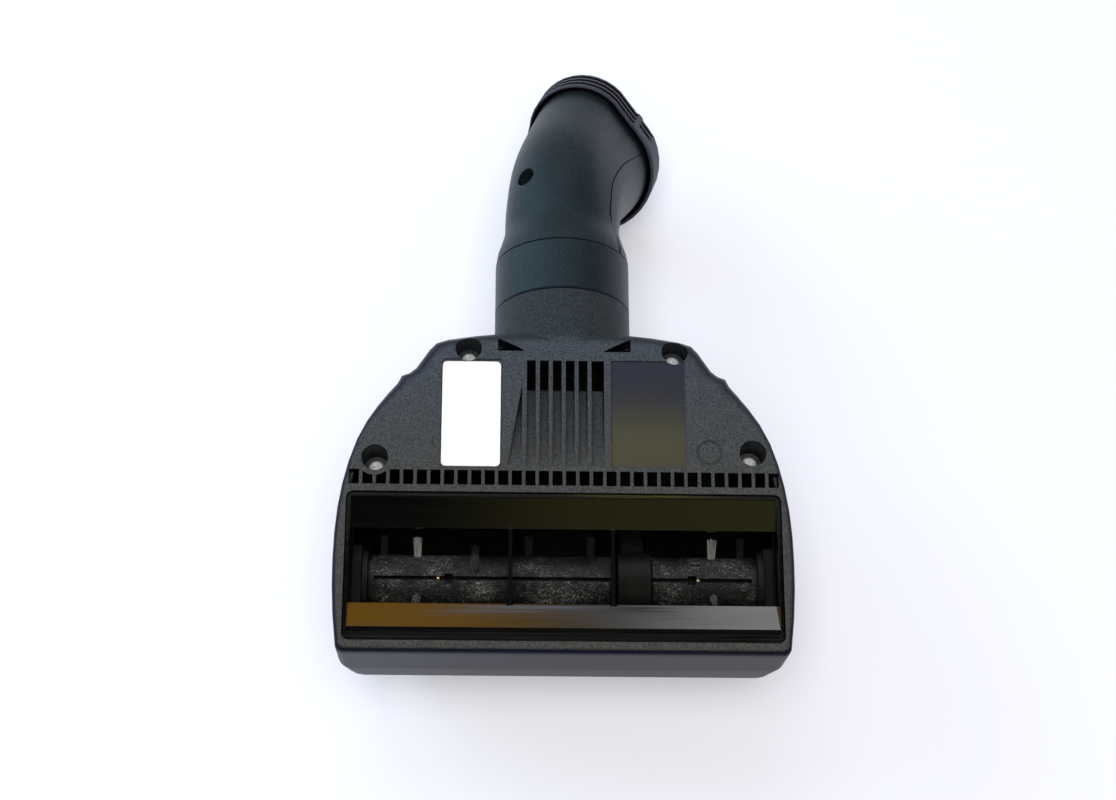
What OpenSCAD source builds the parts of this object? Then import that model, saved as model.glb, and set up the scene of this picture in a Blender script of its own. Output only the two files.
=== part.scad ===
// Motorized hand brush for a vacuum cleaner, resting on its crown with the sole up.
// X runs across the brush, +Y along the neck, +Z up. The sole has its own plane, tilted at the neck angle.

/* [Body] */
// Overall width of the sole
body_w = 160; // [140:1:190]
// Length of the sole ahead of the mouth
front_side = 4; // [3:0.5:8]
// Where the side curve would reach the centre line
side_run = 97; // [94:1:104]
// Depth of the base shell, sole to split line
split_depth = 25; // [23:0.5:28]
// Wall thickness of both shells
wall = 2.5; // [2:0.1:3]
// Corner radius at the sole
sole_corner_r = 3; // [3:0.5:5]
// Corner radius at the split line
split_corner_r = 4; // [3.5:0.5:6]
// Tilt between the sole and the neck axis
sole_tilt = 4.27; // [3.5:0.1:5]
// Share of the outline that the flat crown keeps
crown_share = 0.5; // [0.4:0.01:0.6]

/* [Mouth] */
// Width of the sole on each side of the mouth
mouth_side = 4.1; // [3.6:0.1:7]
// Room between the chamber's wall and the mouth's front and rear sides
mouth_room = 2.2; // [1.8:0.1:2.6]
// Inner edge of the front lip
lip_front_y = 12.4; // [10:0.2:14]
// Inner edge of the rear lip
lip_rear_y = 14.5; // [12:0.2:16]
// Thickness of the cross bars
cross_bar_t = 1.2; // [1:0.1:2]
// Left cross bar
cross_left_x = -18.6; // [-24:0.1:-16]
// Right cross bar
cross_right_x = 17.2; // [16:0.1:18]

/* [Vents] */
// Number of slots in the vent row
slot_count = 32; // [24:2:32]
// Pitch of the vent row
slot_pitch = 4.74; // [4.4:0.02:4.8]
// Width of one vent slot
slot_w = 3.5; // [3:0.1:3.9]
// Sole between the mouth and the vent row
slot_room = 2.6; // [2:0.1:3.4]
// Length of one vent slot
slot_l = 5.3; // [4:0.1:5.6]
// Number of slots in the central grille
grille_count = 6; // [4:1:6]
// Pitch of the grille
grille_pitch = 4.6; // [4:0.1:4.7]
// Width of a grille slot
grille_slot_w = 3.1; // [2.4:0.1:3.4]

/* [Neck] */
// Outer diameter of neck and swivel ring
neck_od = 50; // [48:0.5:52]
// Length of the neck behind the sole's top line
neck_len = 24.85; // [22:0.5:30]
// Length of the swivel ring
ring_len = 20.9; // [16:0.5:24]
// Play of the swivel in its bush
swivel_play = 0.05; // [0.03:0.01:0.08]

/* [Elbow] */
// Straight length before the bend
bend_start = 16.7; // [15.5:0.1:20]
// Radius of the bend's centre line
bend_r = 44.8; // [42:0.5:50]
// Angle of the bend
bend_angle = 40.3; // [34:0.5:44]
// Swing of the elbow from straight down
elbow_swing = 20.6; // [10:0.5:30]
// Straight length after the bend, to the collar
bend_end = 26; // [24:0.5:30]
// Radius of the elbow's waist
waist_r = 21.6; // [21:0.1:22.5]
// Wall of the elbow shells
elbow_wall = 2.2; // [1.8:0.1:2.6]
// Length of the ribbed collar
collar_len = 14; // [12:0.5:18]
// Bore of the hose socket
socket_d = 35; // [32:0.5:35.5]

/* [Roll] */
// Height of the roll axis below the sole
roll_depth = 21; // [20.8:0.1:22]
// Roll axis ahead of the mouth's centre
roll_ahead = 2; // [0:0.5:2.5]
// Room between each end of the roll and the side of the mouth
roll_side = 5.9; // [5.6:0.1:11]
// Diameter of the roll core
core_d = 22; // [20:0.5:23]
// Diameter over the bristles
bristle_d = 36; // [34:0.2:36]
// Diameter of the roll's axle
axle_d = 5; // [4:0.5:6]
// Middle of the drive belt
belt_x = 24.8; // [24:0.2:25.4]
// Width of the drive belt
belt_w = 8; // [6:0.5:9]

/* [Motor] */
// Diameter of the motor can
motor_d = 31; // [28:0.5:33]
// Length of the motor can
motor_len = 48; // [42:1:50]
// Motor axis behind the mouth's centre
motor_y = 44; // [43:0.5:46]
// Height of the motor axis above the crown
motor_z = 23; // [21:0.5:24]
// Diameter of the rotor shaft
shaft_d = 4; // [3:0.5:5]

/* [Hidden] */
$fn = 48;
eps = 0.02;
fit = 0.1;            // clearance between neighbours in one body
run = 0.05;           // running clearance of a shaft in its bore
table_gap = 0.3;      // collar above the table
round_n = 18;         // points round half an elbow section

// Chamber, mouth and roll
bristle_room = 4.5;
chamber_r = bristle_d / 2 + bristle_room;
chamber_wall = 1.8;
mouth_w = body_w - 2 * mouth_side;
mouth_l = 2 * (chamber_r + chamber_wall + mouth_room);
front_y = mouth_l / 2 + front_side;
slot_y = mouth_l / 2 + slot_room;
vent_end = slot_y + slot_l;
roll_len = mouth_w - 2 * roll_side;

// Neck and elbow line
neck_r = neck_od / 2;
top_line_y = 80;
neck_y = top_line_y * cos(sole_tilt);
ring_y = neck_y + neck_len;
elbow_y = ring_y + ring_len;
narrow_len = 14.8;
crest_r = 17.9;
crest_off = 8.5;
belly_r = 24;
belly_off = 6.8;
collar_out = 2.9;
arc_len = bend_r * bend_angle * PI / 180;
elbow_len = bend_start + arc_len + bend_end;
full_len = elbow_len + collar_len;
out_dir = [sin(bend_angle) * sin(elbow_swing), cos(bend_angle), -sin(bend_angle) * cos(elbow_swing)];
rim_drop = (bend_r * (1 - cos(bend_angle)) + (bend_end + collar_len) * sin(bend_angle)) * cos(elbow_swing)
    + belly_off * cos(bend_angle) * cos(elbow_swing) + (belly_r + collar_out) * sqrt(1 - pow(out_dir[2], 2));
neck_z = rim_drop + table_gap;
sole_z = neck_z + neck_r - sin(sole_tilt) * top_line_y;

front_run = 128;
rear_y = 73;
roll_y = -roll_ahead;
mouth_rim = -0.9;
mouth_floor = -12.5;
well_d = 9.4;
well_z = -14;
well_od = 13;
screw_d = 3;
wells = [[-66.4, vent_end + 4.4], [66.5, vent_end + 7.4], [-34.2, 80.3], [39.5, 79.8]];
label_box = [-43.3, vent_end + 1.6, -22.6, 75.2];
label_t = 0.3;
recess_t = 0.5;
panel_box = [16.6, vent_end + 1.6, 43, 76];
grille_left = -13.3;
grille_front = vent_end + 1.9;
grille_rear = 75.8;
grille_through = 68;
block_depth = 12;
bar_depth = 5;
block_left = -21.4;
block_right = 16.2;
pocket_x = [13.8, 23.7];
pocket_y = [79.4, 84.6];

// Roll and drive
block_t = 3.4;
bearing_od = 16;
guard_w = belt_w + 3.6;
guard_r = 14.2;
guard_t = 1.5;
roll_pulley_r = 9.6;
motor_pulley_r = 4.8;
belt_t = 1.4;
belt_play = 0.35;
duct_wall = 1.5;
motor_x = 12;         // right end of the motor can
cap_t = 4;

dark = "#33353a";
smooth_dark = "#2b323c";
gloss = "#101012";

function ease(t) = let (c = max(0, min(1, t))) c * c * (3 - 2 * c);
function half_w(y) = body_w / 2 * (y > 0 ? sqrt(1 - pow(y / side_run, 2.4)) : sqrt(1 - pow(y / front_run, 2)));

// Right half of the outline, front corner to neck, with a corner of radius r
function right_side(r) = let (y0 = -front_y + r, x0 = half_w(y0) - r, k = body_w / 160) concat(
    [for (a = [-90:18:0]) [x0 + r * cos(a), y0 + r * sin(a)]],
    [for (i = [1:12]) let (y = y0 + (rear_y - 4 - y0) * (1 - pow(1 - i / 12, 1.3))) [half_w(y), y]],
    [[58.3 * k, rear_y - 1], [55.6 * k, rear_y], [53.2 * k, rear_y + 2], [48.6 * k, rear_y + 9],
     [46.2 * k, rear_y + 11.6], [42 * k, rear_y + 13], [32 * k, rear_y + 14.6], [neck_r - 0.7, rear_y + 15.4],
     [12, rear_y + 15.8]]);
function outline(r) = let (h = right_side(r)) concat(h, [for (i = [len(h) - 1:-1:0]) [-h[i][0], h[i][1]]]);

// Edge rounding of the sole: small at front and sides, large at the rear
function edge_depth(p) = 2.2 + 6.8 * ease((p[1] - 45) / 25);
function pull_in(p, d) = [p[0] - sign(p[0]) * d * (abs(p[0]) > 20 ? 1 : 0),
    p[1] < 10 - front_y ? p[1] + d : p[1] > 45 ? p[1] - d * ease((p[1] - 45) / 20) : p[1]];
function sole_edge(p) = [p[0] - sign(p[0]) * (2.2 + 2.2 * ease((p[1] - 45) / 25)) * (abs(p[0]) > 20 ? 1 : 0),
    p[1] < 4 - front_y ? p[1] + 2.2 * (1 - max(0, p[1] + front_y) / 4) : p[1] - 7.6 * ease((p[1] - 45) / 30)];
function flat(points, z) = [for (p = points) [p[0], p[1], z]];
function to_row(p) = [p[0], p[1] * cos(sole_tilt) - p[2] * sin(sole_tilt),
    sole_z + p[1] * sin(sole_tilt) + p[2] * cos(sole_tilt)];

// Closed solid through rings of points, listed upwards, each anticlockwise from above
module loft(rings) {
    n = len(rings[0]);
    m = len(rings);
    low = [for (j = [n - 1:-1:0]) j];
    high = [for (j = [0:n - 1]) (m - 1) * n + j];
    sides = [for (i = [0:m - 2], j = [0:n - 1], t = [0, 1])
        let (a = i * n + j, b = i * n + (j + 1) % n)
        t == 0 ? [a, b, b + n] : [a, b + n, a + n]];
    polyhedron([for (r = rings) each r], concat([[for (j = [0:n - 1]) low[n - 1 - j]]],
        [for (f = sides) [f[0], f[2], f[1]]], [[for (j = [0:n - 1]) high[n - 1 - j]]]), convexity = 8);
}

module on_sole() translate([0, 0, sole_z]) rotate([sole_tilt, 0, 0]) children();
module along_neck(y) translate([0, y, neck_z]) rotate([-90, 0, 0]) children();
module along_x(x, y, z) translate([x, y, z]) rotate([0, 90, 0]) children();
module on_roll(x) along_x(x, roll_y, -roll_depth) children();
module slab(x0, y0, x1, y1, z0, z1) translate([x0, y0, z0]) cube([x1 - x0, y1 - y0, z1 - z0]);
module rounded_slab(box, r, z0, z1) translate([0, 0, z0]) linear_extrude(z1 - z0)
    hull() for (x = [box[0] + r, box[2] - r], y = [box[1] + r, box[3] - r]) translate([x, y]) circle(r, $fn = 20);
module across(x, w, profile) translate([x, 0, 0]) rotate([90, 0, 90]) linear_extrude(w) polygon(profile);

// Outer form of the base shell in the sole's plane, and the space inside it
module base_form() {
    side = outline(sole_corner_r);
    loft(concat([flat(outline(split_corner_r), -split_depth), [for (p = side) [p[0], p[1], -edge_depth(p) - 3]]],
        [for (a = [90:-22.5:0]) [for (p = side) let (q = sole_edge(p))
            [q[0] + (p[0] - q[0]) * sin(a), q[1] + (p[1] - q[1]) * sin(a), -edge_depth(p) * (1 - cos(a))]]]));
}
module base_space() {
    side = [for (p = outline(sole_corner_r)) pull_in(p, wall)];
    low = [for (p = outline(split_corner_r)) pull_in(p, wall)];
    loft([flat(low, -split_depth - 1), [for (p = side) [p[0], p[1], -edge_depth(p) - wall]],
        [for (p = side) let (q = sole_edge(p))
            [q[0] * 0.98 + p[0] * 0.02, q[1] * 0.9 + p[1] * 0.1 - ease((p[1] - 50) / 20), -wall]]]);
}
module base_half() on_sole() across(-body_w, 2 * body_w, [[-body_w, -split_depth], [2 * body_w, -split_depth],
    [2 * body_w, body_w], [top_line_y, body_w], [top_line_y, -0.05], [-body_w, -0.05]]);
module crown_half() on_sole() slab(-body_w, -body_w, body_w, 2 * body_w, -body_w, -split_depth);

// Domed form of the crown, from the split line down to the table
crown_round = 16;
front_share = 0.5;
function crown_point(p) = [p[0] * crown_share, 20 + (p[1] - 20) * (p[1] < 20 ? front_share : crown_share)];
function crown_line(inset, a) = [for (p = outline(split_corner_r + crown_round * sin(a))) pull_in(p, inset)];
module crown_form(inset, floor_z, above) {
    rings = [for (a = [90:-15:above > 0 ? 14 : 0]) [for (p = crown_line(inset, a))
        let (t = to_row([p[0], p[1], -split_depth]), c = crown_point(p), k = pow(cos(a), 0.55),
            m = pow(cos(a), 0.85 + ease(-p[1] / 20)))
        [c[0] + (t[0] - c[0]) * k, c[1] + (t[1] - c[1]) * m, floor_z + (t[2] - floor_z) * (1 - sin(a))]]];
    top = [for (p = crown_line(inset, 0)) to_row([p[0], p[1], above - split_depth])];
    loft(concat(rings, above > 0 ? [top] : []));
}

module neck_solid(r0) along_neck(neck_y - 22) cylinder(r = r0, h = neck_len + 22);
module neck_bore(from) along_neck(neck_y - from) cylinder(r = neck_r - wall, h = neck_len + from + 1);

module grille_cut(x, w) across(x, w, [[grille_front, 1], [grille_front, -0.3], [grille_through, -block_depth + 2],
    [grille_through, -block_depth - 1], [grille_rear, -block_depth - 1], [grille_rear, 1]]);
module pockets() for (s = [-1, 1]) translate([0, 0, -9]) linear_extrude(20) polygon([[s * pocket_x[0],
    pocket_y[0]], [s * pocket_x[1], pocket_y[0]], [s * pocket_x[1], pocket_y[1]]]);

module base_shell() color(dark) difference() {
    union() {
        difference() {
            union() {
                on_sole() base_form();
                intersection() {
                    neck_solid(neck_r);
                    base_half();
                }
            }
            on_sole() base_space();
            neck_bore(1.2);
            on_sole() {
                rounded_slab([-mouth_w / 2, -mouth_l / 2, mouth_w / 2, mouth_l / 2], 2.5, -wall - 3, 1);
                for (i = [0:slot_count - 1]) translate([(i - (slot_count - 1) / 2) * slot_pitch - slot_w / 2,
                    slot_y, -wall - 2]) cube([slot_w, slot_l, wall + 4]);
            }
        }
        intersection() {
            on_sole() base_form();
            on_sole() {
                for (p = wells) translate([p[0], p[1], -split_depth]) cylinder(d = well_od, h = split_depth);
                across(block_left, block_right - block_left, [[grille_front - 1.5, -wall / 2],
                    [grille_front - 1.5, -wall - 0.5], [grille_through - 2, -block_depth],
                    [grille_through + 1.5, -block_depth], [grille_through + 1.5, -bar_depth],
                    [grille_rear + 2.4, -bar_depth], [grille_rear + 2.4, -wall / 2]]);
            }
        }
    }
    on_sole() {
        for (p = wells) translate([p[0], p[1], 0]) {
            translate([0, 0, well_z]) cylinder(d = well_d, h = -well_z + 1);
            translate([0, 0, -split_depth - 1]) cylinder(d = screw_d + 0.4, h = split_depth);
        }
        for (i = [0:grille_count - 1]) grille_cut(grille_left + i * grille_pitch,
            grille_slot_w + (i == grille_count - 1 ? 1.3 : 0));
        intersection() {
            grille_cut(block_left, -block_left);
            translate([0, 0, -block_depth]) linear_extrude(block_depth + 2) polygon([[-19.9, grille_front],
                [-15, grille_front], [-15, 66.6]]);
        }
        rounded_slab([label_box[0] - 0.3, label_box[1] - 0.4, label_box[2] + 0.6, label_box[3] + 0.9], 1,
            -recess_t, 1);
        rounded_slab(panel_box, 1, -recess_t, 1);
        pockets();
        translate([51.2, 41.7, -0.4]) difference() {
            cylinder(d = 9.2, h = 2);
            translate([0, 0, -1]) cylinder(d = 7.8, h = 4);
        }
    }
}

module top_shell() color(smooth_dark) difference() {
    union() {
        difference() {
            union() {
                crown_form(0, 0, 0);
                intersection() {
                    neck_solid(neck_r);
                    crown_half();
                }
            }
            crown_form(wall, wall, 1);
            neck_bore(60);
        }
        intersection() {
            crown_form(wall / 2, wall / 2, 0);
            union() {
                on_sole() for (p = wells) translate([p[0], p[1], -sole_z - 20]) cylinder(d = 9,
                    h = sole_z + 20 - split_depth);
                for (x = [motor_x - 10, motor_x - motor_len + 6]) difference() {
                    slab(x, motor_y - 12, x + 3, motor_y + 12, 1, motor_z - 4);
                    along_x(x - 1, motor_y, motor_z) cylinder(d = motor_d + 2 * fit, h = 5);
                }
                slab(31.4, 31, 34.4, 55, 1, board_z() - 0.8);
                slab(56, 31, 59, 55, 1, board_z() - 0.8);
            }
        }
    }
    on_sole() for (p = wells) translate([p[0], p[1], -split_depth - 16]) cylinder(d = screw_d + 2 * fit, h = 17);
}

function board_z() = sole_z - split_depth - 6;

// Glossy frame in the mouth: rim, two sloping lips, cheeks and two cross bars
module mouth_frame() color(gloss) on_sole() {
    hw = mouth_w / 2 - 0.3;
    hl = mouth_l / 2 - 0.3;
    lip_z = -4.6;
    difference() {
        rounded_slab([-hw, -hl, hw, hl], 2.2, mouth_floor, mouth_rim);
        slab(-hw + 1.2, -hl + 1.2, hw - 1.2, hl - 1.2, mouth_floor - 1, 1);
    }
    across(-hw + 1, 2 * hw - 2, [[lip_rear_y, lip_z], [lip_rear_y, lip_z - 1.4], [hl - 1, -3], [hl - 1, -1.6]]);
    gutter = -hl + 4.7;
    across(-hw + 1, 2 * hw - 2, [[-lip_front_y, lip_z], [-lip_front_y, lip_z - 1.4], [gutter, -2.9],
        [gutter, -1.5]]);
    across(-hw + 1, 2 * hw - 2, [[gutter - 0.2, -3.4], [gutter - 0.2, -5], [-hl + 1, -5], [-hl + 1, -3.4]]);
    slab(-hw + 1, gutter - 0.2, hw - 1, gutter + 0.3, -5, -2);
    slab(-hw + 1, -hl + 1.2, hw - 1, -hl + 2.8, -4, -1.5);
    for (x = [cross_left_x, cross_right_x])
        slab(x - cross_bar_t / 2, -lip_front_y - 1, x + cross_bar_t / 2, lip_rear_y + 1, lip_z - 4.6, lip_z + 0.3);
}

// Trough round the roll, with end walls and a flange under the mouth frame
module roll_chamber() color("#232427") on_sole() {
    hw = mouth_w / 2 - 0.3;
    flange = mouth_floor - fit;
    difference() {
        union() {
            on_roll(-hw) cylinder(r = chamber_r + chamber_wall, h = 2 * hw);
            slab(-hw, -mouth_l / 2 + 0.3, hw, mouth_l / 2 - 0.3, flange - 1.6, flange);
        }
        on_roll(-hw + 1.6) cylinder(r = chamber_r, h = 2 * hw - 3.2);
        slab(-hw - 1, -40, hw + 1, 40, flange, 20);
        slab(-hw + 1.6, roll_y - chamber_r + 2, hw - 1.6, roll_y + chamber_r - 2, flange - 4, flange + 1);
        on_roll(-hw - 1) cylinder(d = axle_d + 1, h = 2 * hw + 2);
        slab(belt_x - guard_w / 2, roll_y, belt_x + guard_w / 2, 40, -80, -roll_depth + 6);
        rotate([-sole_tilt, 0, 0]) translate([0, 0, -sole_z]) duct_form(0, -4);
    }
}

module belt_guard() color("#4a4a4c") on_sole() difference() {
    union() {
        on_roll(belt_x - guard_w / 2) cylinder(r = guard_r, h = guard_w);
        slab(belt_x - guard_w / 2, roll_y - chamber_r + 0.6, belt_x + guard_w / 2, roll_y, -24.5, -22);
    }
    on_roll(belt_x - guard_w) cylinder(r = guard_r - guard_t, h = 2 * guard_w);
    slab(belt_x - guard_w, roll_y - 8, belt_x + guard_w, 40, -80, -roll_depth - 1);
    slab(belt_x - guard_w, roll_y + 8.6, belt_x + guard_w, 40, -80, -roll_depth + 10);
    difference() {
        slab(belt_x - guard_w, -60, belt_x + guard_w, 0, -80, 0);
        on_roll(belt_x - guard_w) cylinder(r = chamber_r - fit, h = 2 * guard_w);
    }
}

// Air duct: rounded rectangle at the chamber, wide oval at the neck, below the grille's scoop
duct_w = 31;
duct_x = -1.2;
duct_h = 17;
duct_z = sole_z - 30;
duct_front = 12;
duct_rear = neck_y;
duct_rear_w = 37;
duct_rear_h = 26;
duct_rear_z = neck_z - 3.8;
module duct_form(grow, extra) {
    loft([for (i = [0:6]) let (t = i / 6, e = ease(t), p = 3.2 - 0.8 * e)
        [for (a = [0:11.25:348.75]) let (c = cos(a), s = sin(a),
            x = (duct_w * (1 - e) + duct_rear_w * e) / 2 + grow,
            h = (duct_h * (1 - e) + duct_rear_h * e) / 2 + grow)
            [duct_x * (1 - e) + x * sign(c) * pow(abs(c), 2 / p),
             duct_front + extra + (duct_rear - duct_front - extra) * t,
             (duct_z * (1 - e) + duct_rear_z * e) - h * sign(s) * pow(abs(s), 2 / p)]]]);
}
module air_duct() color("#2c2d30") difference() {
    duct_form(duct_wall, 0);
    duct_form(0, -4);
    translate([0, duct_rear - eps, 0]) slab(-40, 0, 40, 20, 0, 120);
    on_sole() on_roll(-60) cylinder(r = chamber_r + chamber_wall + fit, h = 120);
}

module neck_bush() color("#d8d4c8") along_neck(ring_y - 18) difference() {
    cylinder(r = neck_r - wall - run, h = 17.6);
    translate([0, 0, -1]) cylinder(r = spigot_r() + swivel_play, h = 20);
}
function spigot_r() = neck_r - wall - 1.6;

module housing_screws() color("#b9bcc0") on_sole() for (p = wells) translate([p[0], p[1], well_z]) difference() {
    union() {
        rotate_extrude() polygon([[0, 0.05], [2.8, 0.05], [2.8, 0.9], [2.1, 1.9], [1, 2.3], [0, 2.3]]);
        translate([0, 0, -25]) cylinder(d = screw_d, h = 25.05);
    }
    for (a = [20, 110]) rotate([0, 0, a]) translate([-1.7, -0.35, 1.1]) cube([3.4, 0.7, 2]);
}

module blank_label() color("#f2f2ef") on_sole() rounded_slab(label_box, 1.6, -recess_t, -recess_t + label_t);

module bearing_block(s) on_sole() difference() {
    x0 = s > 0 ? roll_len / 2 + 0.4 : -roll_len / 2 - 0.4 - block_t;
    slab(x0, roll_y - 12, x0 + block_t, roll_y + 12, -roll_depth - 12, -roll_depth + bearing_od / 2 + 1.6);
    on_roll(x0 - 1) cylinder(d = bearing_od + 2 * run, h = block_t + 2);
}
module bearing_block_left() color("#1d1e20") bearing_block(-1);
module bearing_block_right() color("#1d1e20") bearing_block(1);
module roll_bearing(s) on_sole() on_roll(s > 0 ? roll_len / 2 + 0.4 : -roll_len / 2 - 0.4 - block_t)
    difference() {
        cylinder(d = bearing_od, h = block_t);
        translate([0, 0, -1]) cylinder(d = axle_d + 2 * run, h = block_t + 2);
    }
module roll_bearing_left() color("#c9ccd0") roll_bearing(-1);
module roll_bearing_right() color("#c9ccd0") roll_bearing(1);

// Belt loop round both pulleys, between the roll axis and the motor axis
roll_row = to_row([0, roll_y, -roll_depth]);
module belt_outline(grow) hull() {
    translate([roll_row[1], roll_row[2]]) circle(roll_pulley_r + belt_play + grow, $fn = 60);
    translate([motor_y, motor_z]) circle(motor_pulley_r + belt_play + grow, $fn = 60);
}
module drive_belt() color("#1a1a1a") translate([belt_x - belt_w / 2, 0, 0]) rotate([90, 0, 90])
    linear_extrude(belt_w) difference() {
        belt_outline(belt_t);
        belt_outline(0);
    }

module motor_can() color("#8d9196") difference() {
    along_x(motor_x - motor_len, motor_y, motor_z) cylinder(d = motor_d, h = motor_len);
    along_x(motor_x - motor_len - 1, motor_y, motor_z) cylinder(d = motor_d - 2.4, h = motor_len + 2);
}
module motor_cap(x) difference() {
    along_x(x, motor_y, motor_z) cylinder(d = motor_d, h = cap_t);
    along_x(x - 1, motor_y, motor_z) cylinder(d = shaft_d + 2 * run, h = cap_t + 2);
    for (a = [45:90:315]) along_x(x - 1, motor_y, motor_z) rotate([0, 0, a]) translate([9.5, 0, 0])
        cylinder(d = 4, h = cap_t + 2, $fn = 16);
}
module motor_front_cap() color("#5e6166") motor_cap(motor_x + eps);
module motor_rear_cap() color("#5e6166") motor_cap(motor_x - motor_len - cap_t - eps);
module field_magnets() color("#3c3a38") difference() {
    along_x(motor_x - motor_len + 8, motor_y, motor_z) cylinder(d = motor_d - 2.4 - 2 * run, h = motor_len - 18);
    along_x(motor_x - motor_len + 7, motor_y, motor_z) cylinder(d = motor_d - 9, h = motor_len - 16);
    slab(motor_x - motor_len, motor_y - 4, motor_x, motor_y + 4, 0, 2 * motor_z);
}
module circuit_board() color("#2f6b45") {
    slab(29, 30, 60, 56, board_z() - 0.8, board_z() + 0.8);
    translate([36, 43, board_z() + 0.7]) cylinder(d = 8, h = 9, $fn = 24);
    slab(44, 36, 54, 46, board_z() + 0.7, board_z() + 6);
}

module roll_core() color("#2a2a2c") on_sole() difference() {
    on_roll(-roll_len / 2 + 2) cylinder(d = core_d, h = roll_len - 4);
    on_roll(-roll_len) cylinder(d = axle_d + 2 * run, h = 2 * roll_len);
    difference() {
        on_roll(belt_x - guard_w / 2 - 0.6) cylinder(d = core_d + 2, h = guard_w + 1.2);
        on_roll(belt_x - guard_w) cylinder(d = 11, h = 2 * guard_w);
    }
    slab(-roll_len / 2 + 4, roll_y - 0.7, roll_len / 2 - 4, roll_y + 0.7, -roll_depth + core_d / 2 - 1.6, 0);
    for (x = [-40, 45]) slab(x - 1.5, roll_y - 1.6, x + 1.5, roll_y + 1.6, -roll_depth + core_d / 2 - 2.6, 0);
}
tuft_x = [7 - roll_len / 2, -51, -31, -12, 10, 52.5, roll_len / 2 - 7];
module bristle_tufts() color("#4d4b48") on_sole() for (row = [0:3], x = tuft_x)
    translate([x, roll_y, -roll_depth]) rotate([row * 90 + 33 - abs(x) * 1.75, 0, 0])
    translate([0, 0, core_d / 2 + eps]) cylinder(d = 3, h = bristle_d / 2 - core_d / 2 - eps, $fn = 8);
module roll_shaft() color("#b8bbbf") on_sole() on_roll(-roll_len / 2 - block_t) cylinder(d = axle_d,
    h = roll_len + 2 * block_t);
module roll_pulley() color("#c8c6be") on_sole() on_roll(belt_x - belt_w / 2 - 0.6) difference() {
    cylinder(r = roll_pulley_r, h = belt_w + 1.2);
    translate([0, 0, -1]) cylinder(d = 11 + 2 * fit, h = belt_w + 4);
    for (a = [0:15:345]) rotate([0, 0, a]) translate([roll_pulley_r - 0.7, -0.6, -1]) cube([2, 1.2, belt_w + 4]);
}
module roll_end_caps() color("#1c1c1e") on_sole() for (x = [-roll_len / 2, roll_len / 2 - 1.9]) on_roll(x)
    difference() {
        cylinder(r = core_d / 2 + 3, h = 1.9);
        translate([0, 0, -1]) cylinder(d = axle_d + 2 * run, h = 4);
    }

module rotor_shaft() color("#b8bbbf") along_x(motor_x - motor_len - 12, motor_y, motor_z) cylinder(d = shaft_d,
    h = belt_x + belt_w / 2 + 1.5 - motor_x + motor_len + 12);
module sleeve(x, h, r) along_x(x, motor_y, motor_z) difference() {
    cylinder(r = r, h = h);
    translate([0, 0, -1]) cylinder(d = shaft_d + 2 * run, h = h + 2);
}
module armature() color("#7a4a2a") difference() {
    sleeve(motor_x - motor_len + 9, motor_len - 21, motor_d / 2 - 5.2);
    for (a = [0:30:330]) along_x(motor_x - motor_len + 8, motor_y, motor_z) rotate([0, 0, a])
        translate([motor_d / 2 - 7.2, -0.8, 0]) cube([4, 1.6, motor_len - 18]);
}
module commutator() color("#b87333") sleeve(motor_x - 10, 7, 4.6);
module motor_pulley() color("#c8c6be") difference() {
    sleeve(belt_x - belt_w / 2 - 0.6, belt_w + 1.2, motor_pulley_r);
    for (a = [0:30:330]) along_x(belt_x - belt_w, motor_y, motor_z) rotate([0, 0, a])
        translate([motor_pulley_r - 0.7, -0.6, 0]) cube([2, 1.2, 2 * belt_w]);
}
module cooling_fan() color("#3a3c40") {
    fan_x = motor_x - motor_len - cap_t - 6;
    sleeve(fan_x, 1.2, motor_d / 2 - 2);
    sleeve(fan_x, 4.6, 4);
    for (a = [0:45:315]) along_x(fan_x + 1, motor_y, motor_z) rotate([0, 0, a]) translate([3.8, -0.5, 0])
        cube([motor_d / 2 - 6.4, 1, 3.6]);
}

// Swivel ring with the spigot that turns in the neck
module swivel_ring() color(smooth_dark) along_neck(0) rotate_extrude($fn = 96) polygon([
    [spigot_r() - 2.2, ring_y - 21.5], [spigot_r() + 0.9, ring_y - 21.5], [spigot_r() + 0.9, ring_y - 18.4],
    [spigot_r(), ring_y - 18.2], [spigot_r(), ring_y + 0.4], [neck_r - 0.5, ring_y + 0.4],
    [neck_r, ring_y + 0.9], [neck_r, elbow_y - 0.5], [neck_r - 0.5, elbow_y - 0.05],
    [neck_r - 4.7, elbow_y - 0.05], [spigot_r() - 2.2, elbow_y - 3]]);

// Centre line of the elbow, as the distance s from the swivel ring
bend_b = [sin(elbow_swing), 0, -cos(elbow_swing)];
bend_s = [-cos(elbow_swing), 0, -sin(elbow_swing)];
function turn(s) = max(0, min(bend_angle, (s - bend_start) / bend_r * 180 / PI));
function along(s) = let (a = turn(s)) [0, cos(a), 0] + bend_b * sin(a);
function inward(s) = let (a = turn(s)) [0, -sin(a), 0] + bend_b * cos(a);
function centre(s) = let (a = turn(s), rest = s < bend_start ? s - bend_start : max(0, s - bend_start - arc_len))
    [0, elbow_y + bend_start, neck_z] + [0, bend_r * sin(a), 0] + bend_b * bend_r * (1 - cos(a)) + along(s) * rest;

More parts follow.
